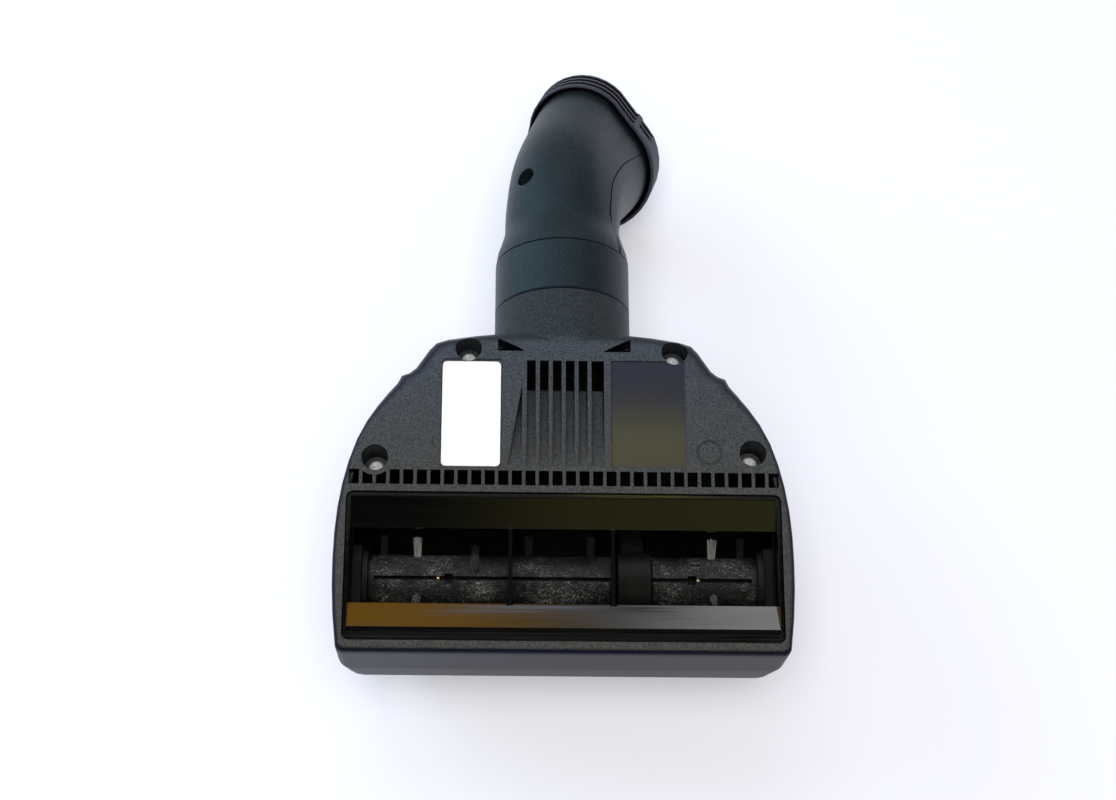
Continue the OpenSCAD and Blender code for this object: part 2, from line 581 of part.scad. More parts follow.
// Section at s: a circle at the ring and waist, an egg of two circles at the collar
function grown(s) = max(0, min(1, (s - narrow_len) / (elbow_len - narrow_len)));
function base_r(s) = neck_r + (waist_r - neck_r) * ease(s / narrow_len);
function section_point(s, a, off) = let (u = grown(s), ra = base_r(s) + (crest_r - waist_r) * u,
    rb = base_r(s) + (belly_r - waist_r) * u, da = crest_off * u, db = belly_off * u,
    on_crest = ra - da * cos(a) > rb + db * cos(a))
    centre(s) + inward(s) * (on_crest ? -da + (ra + off) * cos(a) : db + (rb + off) * cos(a))
    + bend_s * ((on_crest ? ra : rb) + off) * sin(a);
function section(s, off, from, to) = [for (i = [0:round_n]) section_point(s, from + (to - from) * i / round_n, off)];
function closed_section(s, off) = [for (i = [0:2 * round_n - 1]) section_point(s, i * 180 / round_n, off)];
function ends(s, more) = s == 0 ? -more : s > full_len - 3 ? s + more : s;

stations = concat([0, 4, 8, 12, narrow_len], [for (i = [0:5]) bend_start + arc_len * i / 5],
    [elbow_len - bend_end / 2, elbow_len, full_len - 2.6]);
hole_s = 26.5;
hole_off = 8;
hole_r = 3.7;
seat_z = 9.6;
seat_t = 1.6;
post_play = 0.05;
function ring_of(r) = [for (i = [0:15]) [r * cos(i * 22.5), r * sin(i * 22.5)]];
module at_screw() translate(centre(hole_s) + bend_s * hole_off) multmatrix([for (i = [0:2])
    [-bend_s[i], along(hole_s)[i], -inward(hole_s)[i], 0]]) children();
module rod(r, z0, z1) at_screw() translate([0, 0, z0]) linear_extrude(z1 - z0) polygon(ring_of(r));
module elbow_core() loft([for (s = stations) closed_section(s, -elbow_wall / 2)]);
module elbow_half(from, to) difference() {
    loft([for (s = stations) section(s, 0, from, to)]);
    loft([for (s = stations) closed_section(ends(s, 1), -elbow_wall)]);
}
module elbow_upper_shell() color(smooth_dark) difference() {
    union() {
        elbow_half(90, 270);
        intersection() {
            elbow_core();
            rod(hole_r + 1.5, seat_z - seat_t, 40);
        }
    }
    rod(hole_r, seat_z, 40);
    rod(1.6, seat_z - 5, seat_z + 1);
}
module elbow_lower_shell() color(smooth_dark) difference() {
    union() {
        elbow_half(-90, 90);
        intersection() {
            elbow_core();
            rod(3.2, -40, seat_z - seat_t - post_play);
        }
    }
    rod(1.4, -4, 20);
}
module elbow_screw() color("#3a3b3e") at_screw() difference() {
    union() {
        translate([0, 0, seat_z]) cylinder(r = 2.9, h = 2);
        translate([0, 0, seat_z - 12]) cylinder(r = 1.35, h = 12.1);
    }
    for (a = [0, 90]) rotate([0, 0, a]) translate([-1.6, -0.35, seat_z + 1]) cube([3.2, 0.7, 4]);
}

// Ribbed collar round the end of the elbow, closed by a face with the socket's and the plug's openings
rib_depth = 1;
module in_end(s) translate(centre(s)) multmatrix([for (i = [0:2])
    [-bend_s[i], inward(s)[i], along(s)[i], 0]]) children();
socket_off = 4.4;
socket_wall = 1.8;
plug_w = 13;
plug_h = 5.6;
plug_off = -18.6;
plug_len = 12;
// The three grooves run over the crest to a bar on each flat side, two go on to the smooth lobe of the belly
bar_at = [0.6, 0.66, 0.78, 0.84];
function blend(a, b, t) = a + (b - a) * t;
function rib_ring(s, deep, short) = let (out = collar_out - 0.4, low = out - deep, mid = out - short,
    crest = [for (a = [120:10:240]) section_point(s, a, low)],
    belly = [for (a = [260:10:460]) section_point(s, a, collar_out - min(deep, 0.4) * (deep < 0.5 ? 1 : 0))],
    far = [for (o = [low, out + 0.4, out + 0.4, mid]) [section_point(s, 240, o), section_point(s, 250, o)]],
    near = [for (o = [mid, out + 0.4, out + 0.4, low]) [section_point(s, 110, o), section_point(s, 120, o)]])
    concat(crest, [for (i = [0:3]) blend(far[i][0], far[i][1], bar_at[i])], [section_point(s, 250, mid)], belly,
        [section_point(s, 110, mid)], [for (i = [0:3]) blend(near[i][0], near[i][1], 1 - bar_at[3 - i])]);
module hose_collar() color("#2f2f38") difference() {
    loft(concat([rib_ring(elbow_len, 0.3, 0.3)], [rib_ring(elbow_len + 0.6, 0, 0)],
        [for (g = [0:2]) for (k = [0:3]) rib_ring(elbow_len + 2.2 + 3.8 * g + [0, 0.3, 1.9, 2.2][k],
            k == 0 || k == 3 ? 0 : rib_depth, g == 0 || k == 0 || k == 3 ? 0 : rib_depth)],
        [rib_ring(full_len - 0.5, 0, 0), rib_ring(full_len, 0.4, 0.4)]));
    loft([for (s = [-1, 3, collar_len - 2.5]) closed_section(elbow_len + s, s < 0 ? 1.9 : 0.9)]);
    in_end(full_len - 20) translate([0, socket_off, 0]) cylinder(r = socket_d / 2 + socket_wall + fit, h = 40);
    in_end(full_len - 20) translate([-plug_w / 2 - fit, plug_off - plug_h / 2 - fit, 0])
        cube([plug_w + 2 * fit, plug_h + 2 * fit, 40]);
}
module hose_socket() color("#25262a") in_end(full_len - 24) translate([0, socket_off, 0]) difference() {
    cylinder(r = socket_d / 2 + socket_wall, h = 24);
    translate([0, 0, 2]) cylinder(d = socket_d, h = 30);
    translate([0, 0, -1]) cylinder(d = socket_d - 3, h = 30);
}
module plug_housing() color("#1b1b1d") in_end(full_len - plug_len) translate([0, plug_off, 0]) difference() {
    translate([-plug_w / 2, -plug_h / 2, 0]) cube([plug_w, plug_h, plug_len]);
    translate([-plug_w / 2 + 1, -plug_h / 2 + 1, 3]) cube([plug_w - 2, plug_h - 2, 20]);
    for (x = [-3.5, 3.5]) translate([x, 0, -1]) cylinder(r = 1 + run, h = 10, $fn = 24);
}
module contact_pins() color("#c9a24a") in_end(full_len - plug_len) for (x = [-3.5, 3.5])
    translate([x, plug_off, 0]) cylinder(r = 1, h = plug_len - 2, $fn = 24);

base_shell();
top_shell();
mouth_frame();
roll_chamber();
belt_guard();
air_duct();
neck_bush();
housing_screws();
blank_label();
bearing_block_left();
bearing_block_right();
roll_bearing_left();
roll_bearing_right();
drive_belt();
motor_can();
motor_front_cap();
motor_rear_cap();
field_magnets();
circuit_board();
roll_core();
bristle_tufts();
roll_shaft();
roll_pulley();
roll_end_caps();
rotor_shaft();
armature();
commutator();
motor_pulley();
cooling_fan();
swivel_ring();
elbow_upper_shell();
elbow_lower_shell();
elbow_screw();
hose_collar();
hose_socket();
plug_housing();
contact_pins();
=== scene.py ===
# Motorised hand brush of a vacuum cleaner, lying on its crown with the sole and the brush roll facing up.
# The file follows its assembly: casing, mouth, roll and drive, fasteners, neck, elbow, hose end, then the studio.
import math
import random
import bmesh
import bpy
from mathutils import Matrix, Vector


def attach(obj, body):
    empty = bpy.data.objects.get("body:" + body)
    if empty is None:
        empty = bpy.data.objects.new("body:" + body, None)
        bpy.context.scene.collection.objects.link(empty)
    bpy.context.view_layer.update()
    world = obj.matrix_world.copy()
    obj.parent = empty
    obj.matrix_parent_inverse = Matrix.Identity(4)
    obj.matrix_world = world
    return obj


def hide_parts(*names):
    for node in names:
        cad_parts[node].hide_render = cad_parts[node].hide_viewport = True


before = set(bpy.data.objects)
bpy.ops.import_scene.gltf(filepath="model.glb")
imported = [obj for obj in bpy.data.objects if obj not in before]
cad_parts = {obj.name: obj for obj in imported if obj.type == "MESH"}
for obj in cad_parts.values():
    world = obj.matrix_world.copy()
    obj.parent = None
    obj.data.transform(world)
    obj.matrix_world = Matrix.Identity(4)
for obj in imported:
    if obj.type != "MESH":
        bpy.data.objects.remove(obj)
bpy.ops.object.select_all(action="DESELECT")
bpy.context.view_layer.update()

# Base shell: the flat sole with its short walls, vent row, grille and screw wells.
# Moulded in black ABS. The sole's side of the mould is spark eroded, which leaves a fine, dull, warm grain,
# while the walls and the half of the neck are only brushed and come out as a cooler satin.
# Towards the rear the sole's speckle turns cool as a painted sheen, and the neck's speckle is lighter as a painted
# highlight.


def linear(code):
    """An sRGB hex colour as linear values with alpha."""
    parts = [int(code[i:i + 2], 16) / 255 for i in (1, 3, 5)]
    return [v / 12.92 if v <= 0.04045 else ((v + 0.055) / 1.055) ** 2.4 for v in parts] + [1]


def add(tree, kind, values=None, links=None):
    """Adds a shader node with its settings and its links."""
    made = tree.nodes.new("ShaderNode" + kind)
    for key, value in (values or {}).items():
        if isinstance(key, int) or key in made.inputs:
            made.inputs[key].default_value = value
        else:
            setattr(made, key, value)
    for key, source in (links or {}).items():
        tree.links.new(source, made.inputs[key])
    return made


def finish(name, colour, roughness, **values):
    """A material on one shader, named for the real one."""
    made = bpy.data.materials.new(name)
    made.use_nodes = True
    shader = made.node_tree.nodes["Principled BSDF"]
    for key, value in {"Base Color": linear(colour), "Roughness": roughness, **values}.items():
        shader.inputs[key].default_value = value
    return made.node_tree, shader


def shades(tree, factor, steps):
    """Colours along a factor, each step a place from 0 to 1 and a hex colour."""
    ramp = add(tree, "ValToRGB", links={"Fac": factor})
    ends = ramp.color_ramp.elements
    for i, (place, code) in enumerate(steps):
        step = ends[i] if i < 2 else ends.new(place)
        step.position = place
        step.color = linear(code)
    return ramp.outputs["Color"]


def relief(tree, shader, height, depth, edge):
    """Bump of that depth in metres over edges that are rounded by that radius."""
    bevel = add(tree, "Bevel", {"samples": 6, "Radius": edge})
    bump = add(tree, "Bump", {"Strength": 1.0, "Distance": depth}, {"Height": height, "Normal": bevel.outputs[0]})
    tree.links.new(bump.outputs["Normal"], shader.inputs["Normal"])


def skin(name, body, material, angle=35):
    """A merged and smoothed copy of a CAD node's mesh, which stands for the node."""
    made = bpy.data.objects.new(name + "_skin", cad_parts[name].data.copy())
    bpy.context.collection.objects.link(made)
    bpy.ops.object.select_all(action="DESELECT")
    made.select_set(True)
    bpy.context.view_layer.objects.active = made
    if made.data.has_custom_normals:
        bpy.ops.mesh.customdata_custom_splitnormals_clear()
    bpy.ops.object.mode_set(mode="EDIT")
    bpy.ops.mesh.select_all(action="SELECT")
    bpy.ops.mesh.remove_doubles(threshold=0.000004)
    bpy.ops.object.mode_set(mode="OBJECT")
    bpy.ops.object.shade_smooth_by_angle(angle=math.radians(angle))
    made.data.materials.clear()
    made.data.materials.append(material)
    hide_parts(name)
    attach(made, body)
    made.select_set(False)
    return made


def owner(tree):
    """The material that a node tree belongs to."""
    return next(m for m in bpy.data.materials if m.node_tree == tree)


def dress(names, tree):
    """Gives CAD nodes that stay a material."""
    for n in names:
        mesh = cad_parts[n].data
        mesh.materials.clear()
        mesh.materials.append(owner(tree))


GRAIN = 0.0006        # spark-eroded pits are about 0.4 mm wide, drawn coarser so that they show
eroded, shader = finish("spark_eroded_abs", "#1b1b1a", 0.55, **{"Specular Tint": linear("#b6baf2")})
place = add(eroded, "TexCoord")
facing = add(eroded, "SeparateXYZ", links={"Vector": place.outputs["Normal"]})
sole = add(eroded, "MapRange", {"From Min": 0.8, "From Max": 0.96}, {"Value": facing.outputs["Z"]})
pits = add(eroded, "TexNoise", {"Scale": 1 / GRAIN, "Detail": 3.0, "Roughness": 0.6},
           {"Vector": place.outputs["Object"]})
cloud = add(eroded, "TexNoise", {"Scale": 1 / 0.03, "Detail": 2.0}, {"Vector": place.outputs["Object"]})
speck = shades(eroded, pits.outputs["Fac"], [(0.34, "#2b2d2d"), (0.66, "#504e46")])
# painted sheen: towards the rear the speckle turns cooler and bluer, standing in for the reflection of the cool light
# behind
painted_cool_sheen_speck = shades(eroded, pits.outputs["Fac"], [(0.34, "#2a3036"), (0.66, "#49525a")])
wall_tone = shades(eroded, cloud.outputs["Fac"], [(0.3, "#0a0c15"), (0.7, "#0f111b")])
spot = add(eroded, "SeparateXYZ", links={"Vector": place.outputs["Object"]})
painted_sheen_rearward = add(eroded, "MapRange", {"From Min": 0.02, "From Max": 0.085, "To Max": 0.8}, {"Value": spot.outputs["Y"]})
face = add(eroded, "Mix", {"data_type": "RGBA"}, {"Factor": painted_sheen_rearward.outputs[0], 6: speck, 7: painted_cool_sheen_speck})
mixed = add(eroded, "Mix", {"data_type": "RGBA"}, {"Factor": sole.outputs[0], 6: wall_tone, 7: face.outputs[2]})
worn = add(eroded, "MapRange", {"To Min": 0.44, "To Max": 0.62}, {"Value": sole.outputs[0]})
eroded.links.new(worn.outputs[0], shader.inputs["Roughness"])
# the neck's speckle is the grain; its lighter, cooler tone is a painted highlight of the window light
neck = add(eroded, "MapRange", {"From Min": 0.0825, "From Max": 0.0865}, {"Value": spot.outputs["Y"]})
neck_grain_and_painted_highlight = shades(eroded, pits.outputs["Fac"], [(0.34, "#1c2022"), (0.66, "#373e3f")])
toned = add(eroded, "Mix", {"data_type": "RGBA"}, {"Factor": neck.outputs[0], 6: mixed.outputs[2], 7: neck_grain_and_painted_highlight})
level = add(eroded, "VectorMath", {"operation": "DOT_PRODUCT", 1: (0.0, -0.07446, 0.99722)},
            {0: place.outputs["Object"]})
split = add(eroded, "Math", {"operation": "COMPARE", 1: 0.054557, 2: 0.0005}, {0: level.outputs["Value"]})
joint = add(eroded, "Mix", {"data_type": "RGBA", 7: linear("#050506")}, {"Factor": split.outputs[0], 6: toned.outputs[2]})
across = add(eroded, "Math", {"operation": "COMPARE", 1: 0.0298, 2: 0.0131}, {0: spot.outputs["X"]})
down = add(eroded, "Math", {"operation": "COMPARE", 1: 0.05585, 2: 0.0199}, {0: spot.outputs["Y"]})
panel = add(eroded, "Math", {"operation": "MULTIPLY"}, {0: across.outputs[0], 1: down.outputs[0]})
panel = add(eroded, "Math", {"operation": "MULTIPLY"}, {0: panel.outputs[0], 1: sole.outputs[0]})
plain = add(eroded, "Mix", {"data_type": "RGBA", 7: linear("#27282e")},
            {"Factor": panel.outputs[0], 6: joint.outputs[2]})
eroded.links.new(plain.outputs[2], shader.inputs["Base Color"])
calm = add(eroded, "MapRange", {"To Min": 1.0, "To Max": 0.03}, {"Value": panel.outputs[0]})
shine = add(eroded, "MapRange", {"To Min": 0.17, "To Max": 0.24}, {"Value": sole.outputs[0]})
shine = add(eroded, "Math", {"operation": "MULTIPLY_ADD", 1: 0.36}, {0: panel.outputs[0], 2: shine.outputs[0]})
eroded.links.new(shine.outputs[0], shader.inputs["Specular IOR Level"])
gloss = add(eroded, "Math", {"operation": "MULTIPLY_ADD", 1: -0.5}, {0: panel.outputs[0], 2: worn.outputs[0]})
eroded.links.new(gloss.outputs[0], shader.inputs["Roughness"])
grained = add(eroded, "Math", {"operation": "MAXIMUM"}, {0: neck.outputs[0], 1: sole.outputs[0]})
height = add(eroded, "Math", {"operation": "MULTIPLY"}, {0: pits.outputs["Fac"], 1: grained.outputs[0]})
height = add(eroded, "Math", {"operation": "MULTIPLY"}, {0: height.outputs[0], 1: calm.outputs[0]})
relief(eroded, shader, height.outputs[0], 0.00035, 0.0005)
skin("base_shell", "housing", owner(eroded))

# Top shell: the deep domed cover, here the underside, with the other half of the neck.
# Same black ABS from a brushed mould. The satin material made here, with its cool face and very fine, soft unevenness,
# goes to the swivel ring and the elbow; the top shell itself takes spark_eroded_abs.
satin, shader = finish("satin_abs", "#1a1e25", 0.42, **{"Specular IOR Level": 0.36, "Specular Tint": linear("#b4e2f4")})
place = add(satin, "TexCoord")
fine = add(satin, "TexNoise", {"Scale": 1 / 0.0005, "Detail": 3.0, "Roughness": 0.6},
           {"Vector": place.outputs["Object"]})
cloud = add(satin, "TexNoise", {"Scale": 1 / 0.02, "Detail": 2.0}, {"Vector": place.outputs["Object"]})
tone = shades(satin, cloud.outputs["Fac"], [(0.3, "#1d2227"), (0.55, "#1f272b"), (0.75, "#22252f")])
speck = shades(satin, fine.outputs["Fac"], [(0.38, "#808080"), (0.62, "#ffffff")])
mixed = add(satin, "Mix", {"data_type": "RGBA", "blend_type": "MULTIPLY", "Factor": 1.0}, {6: tone, 7: speck})
satin.links.new(mixed.outputs[2], shader.inputs["Base Color"])
relief(satin, shader, fine.outputs["Fac"], 0.0002, 0.0005)
skin("top_shell", "housing", owner(eroded))

# Mouth frame: the insert with both lips, the cheeks and two thin cross bars, pressed into the sole.
# Polished black ABS, so its lips show the room as a mirror does, with faint flow lines along them.
polished, shader = finish("polished_abs", "#050505", 0.1)
place = add(polished, "TexCoord")
along = add(polished, "Mapping", {"Scale": (25.0, 500.0, 500.0)}, {"Vector": place.outputs["Object"]})
flow = add(polished, "TexNoise", {"Scale": 1.0, "Detail": 3.0}, {"Vector": along.outputs["Vector"]})
worn = add(polished, "MapRange", {"To Min": 0.06, "To Max": 0.2}, {"Value": flow.outputs["Fac"]})
spot = add(polished, "SeparateXYZ", links={"Vector": place.outputs["Object"]})
left_bar = add(polished, "Math", {"operation": "COMPARE", 1: -0.0186, 2: 0.0012}, {0: spot.outputs["X"]})
right_bar = add(polished, "Math", {"operation": "COMPARE", 1: 0.0172, 2: 0.0012}, {0: spot.outputs["X"]})
bars = add(polished, "Math", {"operation": "ADD"}, {0: left_bar.outputs[0], 1: right_bar.outputs[0]})
open_part = add(polished, "Math", {"operation": "COMPARE", 1: 0.0009, 2: 0.0136}, {0: spot.outputs["Y"]})
bars = add(polished, "Math", {"operation": "MULTIPLY"}, {0: bars.outputs[0], 1: open_part.outputs[0]})
worn = add(polished, "Math", {"operation": "MULTIPLY_ADD", 1: 0.5}, {0: bars.outputs[0], 2: worn.outputs[0]})
dull = add(polished, "MapRange", {"To Min": 0.5, "To Max": 0.06}, {"Value": bars.outputs[0]})
polished.links.new(dull.outputs[0], shader.inputs["Specular IOR Level"])
polished.links.new(worn.outputs[0], shader.inputs["Roughness"])
relief(polished, shader, flow.outputs["Fac"], 0.00004, 0.00012)
skin("mouth_frame", "housing", owner(polished), angle=25)

# Roll chamber, belt guard, air duct and bearing blocks: inner mouldings in dark glass-filled nylon.
# They carry no finish of their own, and dust has settled in their dull pores.
nylon, shader = finish("moulded_nylon", "#0c0c0d", 0.6, **{"Specular IOR Level": 0.3})
place = add(nylon, "TexCoord")
dust = add(nylon, "TexNoise", {"Scale": 1 / 0.004, "Detail": 5.0, "Roughness": 0.7},
           {"Vector": place.outputs["Object"]})
tone = shades(nylon, dust.outputs["Fac"], [(0.4, "#050505"), (0.72, "#0f0e0b")])
nylon.links.new(tone, shader.inputs["Base Color"])
relief(nylon, shader, dust.outputs["Fac"], 0.00015, 0.0004)
for name in ("roll_chamber", "air_duct", "bearing_block_left", "bearing_block_right"):
    skin(name, "housing", owner(nylon))

# Belt guard: the smooth band over the belt, between the middle and the right window of the mouth.
# Dark acetal with a dull shine and fine scratches that run round it.
acetal, shader = finish("turned_acetal", "#1b1a18", 0.42, **{"Specular IOR Level": 0.16})
place = add(acetal, "TexCoord")
round_it = add(acetal, "Mapping", {"Scale": (2200.0, 90.0, 90.0)}, {"Vector": place.outputs["Object"]})
marks = add(acetal, "TexNoise", {"Scale": 1.0, "Detail": 3.0}, {"Vector": round_it.outputs["Vector"]})
tone = shades(acetal, marks.outputs["Fac"], [(0.35, "#080807"), (0.7, "#0f0f0d")])
acetal.links.new(tone, shader.inputs["Base Color"])
relief(acetal, shader, marks.outputs["Fac"], 0.00003, 0.0004)
skin("belt_guard", "housing", owner(acetal))

# Roll core: a turned body of dark nylon with a groove along it, on which lint and pale dust have settled.
# The dust is drawn as specks of about 0.3 mm and short fibres. Painted shade darkens the core where the chamber closes
# over it, so it is lighter at the middle of each window.
dusty, shader = finish("dusty_nylon", "#0b0b0b", 0.5, **{"Specular IOR Level": 0.3})
place = add(dusty, "TexCoord")
specks = add(dusty, "TexNoise", {"Scale": 1 / 0.0007, "Detail": 4.0, "Roughness": 0.7},
             {"Vector": place.outputs["Object"]})
streak = add(dusty, "Mapping", {"Rotation": (0.4, 0.3, 0.6), "Scale": (480.0, 2000.0, 1200.0)},
             {"Vector": place.outputs["Object"]})
fibres = add(dusty, "TexNoise", {"Scale": 1.0, "Detail": 3.0, "Distortion": 1.2},
             {"Vector": streak.outputs["Vector"]})
drift = add(dusty, "TexNoise", {"Scale": 1 / 0.014, "Detail": 2.0}, {"Vector": place.outputs["Object"]})
hair = add(dusty, "Math", {"operation": "MULTIPLY", 1: 0.93}, {0: fibres.outputs["Fac"]})
lint = add(dusty, "Math", {"operation": "MAXIMUM"}, {0: specks.outputs["Fac"], 1: hair.outputs[0]})
spread = add(dusty, "Math", {"operation": "MULTIPLY_ADD", 1: 0.35}, {0: drift.outputs["Fac"], 2: lint.outputs[0]})
tone = shades(dusty, spread.outputs[0], [(0.62, "#060606"), (0.76, "#242422"), (0.92, "#7a7a75")])
# painted shade: ambient occlusion darkens the core wherever the chamber and the lips close over it
painted_shade_occlusion = add(dusty, "AmbientOcclusion", {"Distance": 0.012, "samples": 8})
painted_shade_ramp = shades(dusty, painted_shade_occlusion.outputs["AO"], [(0.4, "#141414"), (0.78, "#ffffff")])
mixed = add(dusty, "Mix", {"data_type": "RGBA", "blend_type": "MULTIPLY", "Factor": 1.0}, {6: tone, 7: painted_shade_ramp})
dusty.links.new(mixed.outputs[2], shader.inputs["Base Color"])
relief(dusty, shader, lint.outputs[0], 0.0002, 0.0003)
skin("roll_core", "brush_roll", owner(dusty))

# Staples of the roll: two small brass heads that shine beside the notches of the groove.
# Drawn brass wire, 1.1 mm across, driven into the nylon.
brass, shader = finish("drawn_brass", "#e8c98a", 0.25, Metallic=0.8)
place = add(brass, "TexCoord")
drawn = add(brass, "TexNoise", {"Scale": 1 / 0.0009, "Detail": 3.0}, {"Vector": place.outputs["Object"]})
relief(brass, shader, drawn.outputs["Fac"], 0.00002, 0.0002)
for x in (-0.0436, 0.0472):
    bpy.ops.mesh.primitive_uv_sphere_add(segments=20, ring_count=12, radius=0.0006, location=(x, -0.00128, 0.0695))
    head = bpy.context.active_object
    head.name = "staple_head"
    bpy.ops.object.transform_apply(location=True, rotation=True, scale=True)
    bpy.ops.object.shade_smooth_by_angle(angle=math.radians(60))
    head.data.materials.append(owner(brass))
    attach(head, "brush_roll")
    head.select_set(False)

# Bristles: two spiral rows of tufts, each a bundle of nylon filaments 0.16 mm thick stapled into the core.
# The filaments spread a little towards their tips. Two tufts of the first row are painted pale as a painted highlight
# where they catch the light; the others get random dark tones.
filament, shader = finish("nylon_filament", "#5a564f", 0.45, **{"Sheen Weight": 0.2})
place = add(filament, "TexCoord")
per_tuft = add(filament, "Attribute", {"attribute_name": "tone"})
tone = shades(filament, per_tuft.outputs["Fac"], [(0.0, "#050505"), (0.6, "#0e0e0d"), (1.0, "#9c9a96")])
filament.links.new(tone, shader.inputs["Base Color"])

tilt = math.radians(4.27)
roll_axis = Vector((0, -0.002 * math.cos(tilt) + 0.021 * math.sin(tilt),
                    0.079778 - 0.002 * math.sin(tilt) - 0.021 * math.cos(tilt)))
rng = random.Random(7)
bpy.ops.mesh.primitive_cone_add(vertices=4, radius1=0.00011, radius2=0.00006, depth=0.0069, end_fill_type="NGON",
                                location=(0, 0, 0.01445))
hair = bpy.context.active_object
hair.name = "filament"
bpy.ops.object.mode_set(mode="EDIT")
bpy.ops.mesh.subdivide(number_cuts=1)
bpy.ops.object.mode_set(mode="OBJECT")
bpy.ops.object.transform_apply(location=True, rotation=True, scale=True)
hair_mesh = hair.data
tufts = []
for row in range(4):
    for x in (-0.063, -0.051, -0.031, -0.012, 0.010, 0.0525, 0.063):
        turn = Matrix.Rotation(math.radians(row * 90 + 33 - abs(x) * 1750) + tilt, 4, "X")
        # painted highlight: two tufts of the first row get a pale tone in place of the light they catch
        painted_highlight = 1.0 if row == 0 and x in (-0.051, 0.0525) else rng.uniform(0.0, 0.25)
        for k in range(34):
            ring = math.sqrt(k / 34) * 0.00135
            at = k * 2.4
            lean = Matrix.Rotation(rng.uniform(-0.09, 0.09), 4, "X") @ Matrix.Rotation(rng.uniform(-0.09, 0.09), 4, "Y")
            spot = Matrix.Translation((x + ring * math.cos(at), 0, 0)) @ Matrix.Translation(roll_axis)
            one = hair_mesh.copy()
            one.transform(spot @ turn @ Matrix.Translation((0, ring * math.sin(at), 0))
                          @ Matrix.Translation((0, 0, 0.011)) @ lean @ Matrix.Translation((0, 0, -0.011)))
            values = one.attributes.new("tone", "FLOAT", "POINT")
            values.data.foreach_set("value", [painted_highlight * rng.uniform(0.75, 1.0)] * len(one.vertices))
            part = bpy.data.objects.new("filament", one)
            bpy.context.collection.objects.link(part)
            tufts.append(part)
bpy.data.objects.remove(hair)
bpy.ops.object.select_all(action="DESELECT")
for part in tufts:
    part.select_set(True)
bpy.context.view_layer.objects.active = tufts[0]
bpy.ops.object.join()
bristles = bpy.context.active_object
bristles.name = "bristle_bundles"
bpy.ops.object.shade_smooth_by_angle(angle=math.radians(60))
bristles.data.materials.clear()
bristles.data.materials.append(owner(filament))
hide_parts("bristle_tufts")
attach(bristles, "brush_roll")
bristles.select_set(False)

# End caps and axle of the roll: dark discs that keep hair off the bearings, on a ground steel axle.
skin("roll_end_caps", "brush_roll", owner(nylon))
ground, shader = finish("ground_steel", "#b9babd", 0.28, Metallic=1.0)
place = add(ground, "TexCoord")
lines = add(ground, "Mapping", {"Scale": (3500.0, 200.0, 200.0)}, {"Vector": place.outputs["Object"]})
turned = add(ground, "TexNoise", {"Scale": 1.0, "Detail": 2.0}, {"Vector": lines.outputs["Vector"]})
relief(ground, shader, turned.outputs["Fac"], 0.00002, 0.0002)
dress(("roll_shaft", "roll_bearing_left", "roll_bearing_right", "rotor_shaft", "motor_can"), ground)

# Belt drive: toothed pulleys in natural acetal and an endless rubber belt between the motor and the roll.
natural, shader = finish("natural_acetal", "#c9c4b4", 0.45, **{"Subsurface Weight": 0.05})
place = add(natural, "TexCoord")
cloud = add(natural, "TexNoise", {"Scale": 1 / 0.003, "Detail": 2.0}, {"Vector": place.outputs["Object"]})
natural.links.new(shades(natural, cloud.outputs["Fac"], [(0.3, "#beb8a6"), (0.7, "#d2cdbf")]),
                  shader.inputs["Base Color"])
relief(natural, shader, cloud.outputs["Fac"], 0.00003, 0.0003)
dress(("roll_pulley", "motor_pulley", "neck_bush"), natural)
rubber, shader = finish("belt_rubber", "#141414", 0.75)
place = add(rubber, "TexCoord")
chalk = add(rubber, "TexNoise", {"Scale": 1 / 0.0012, "Detail": 4.0}, {"Vector": place.outputs["Object"]})
rubber.links.new(shades(rubber, chalk.outputs["Fac"], [(0.35, "#0f0f0f"), (0.75, "#252422")]),
                 shader.inputs["Base Color"])
relief(rubber, shader, chalk.outputs["Fac"], 0.00006, 0.0003)
dress(("drive_belt",), rubber)

# Motor: steel can with sintered magnets, a wound armature, commutator, fan and two glass-filled end caps.
ferrite, shader = finish("sintered_ferrite", "#2b2a29", 0.7)
place = add(ferrite, "TexCoord")
pores = add(ferrite, "TexNoise", {"Scale": 1 / 0.0008, "Detail": 4.0}, {"Vector": place.outputs["Object"]})
relief(ferrite, shader, pores.outputs["Fac"], 0.0001, 0.0003)
dress(("field_magnets",), ferrite)
wound, shader = finish("enamelled_copper", "#a4562a", 0.32, Metallic=0.85)
place = add(wound, "TexCoord")
turns = add(wound, "TexWave", {"Scale": 1 / 0.0035, "Distortion": 0.6, "bands_direction": "Y"},
            {"Vector": place.outputs["Object"]})
relief(wound, shader, turns.outputs["Fac"], 0.0002, 0.0002)
dress(("armature", "commutator"), wound)
dress(("motor_front_cap", "motor_rear_cap", "cooling_fan", "hose_socket", "plug_housing"), nylon)
laminate, shader = finish("glass_laminate", "#0d1a10", 0.5)
place = add(laminate, "TexCoord")
weave = add(laminate, "TexWave", {"Scale": 1 / 0.004, "Distortion": 0.3}, {"Vector": place.outputs["Object"]})
laminate.links.new(shades(laminate, weave.outputs["Fac"], [(0.2, "#0b160e"), (0.8, "#112216")]),
                   shader.inputs["Base Color"])
relief(laminate, shader, weave.outputs["Fac"], 0.00004, 0.0002)
dress(("circuit_board",), laminate)

# Housing screws: four pan heads of zinc-plated steel with a cross recess, at the bottom of the wells.
# Bright, slightly blue plating with a soft grain.
zinc, shader = finish("zinc_plated_steel", "#d3d9dd", 0.36, Metallic=0.3)
place = add(zinc, "TexCoord")
crystals = add(zinc, "TexNoise", {"Scale": 1 / 0.0009, "Detail": 3.0}, {"Vector": place.outputs["Object"]})
zinc.links.new(shades(zinc, crystals.outputs["Fac"], [(0.3, "#dce4e8"), (0.7, "#fbfdfe")]),
               shader.inputs["Base Color"])
relief(zinc, shader, crystals.outputs["Fac"], 0.00003, 0.0002)
skin("housing_screws", "housing", owner(zinc), angle=25)
skin("elbow_screw", "elbow", owner(zinc), angle=25)

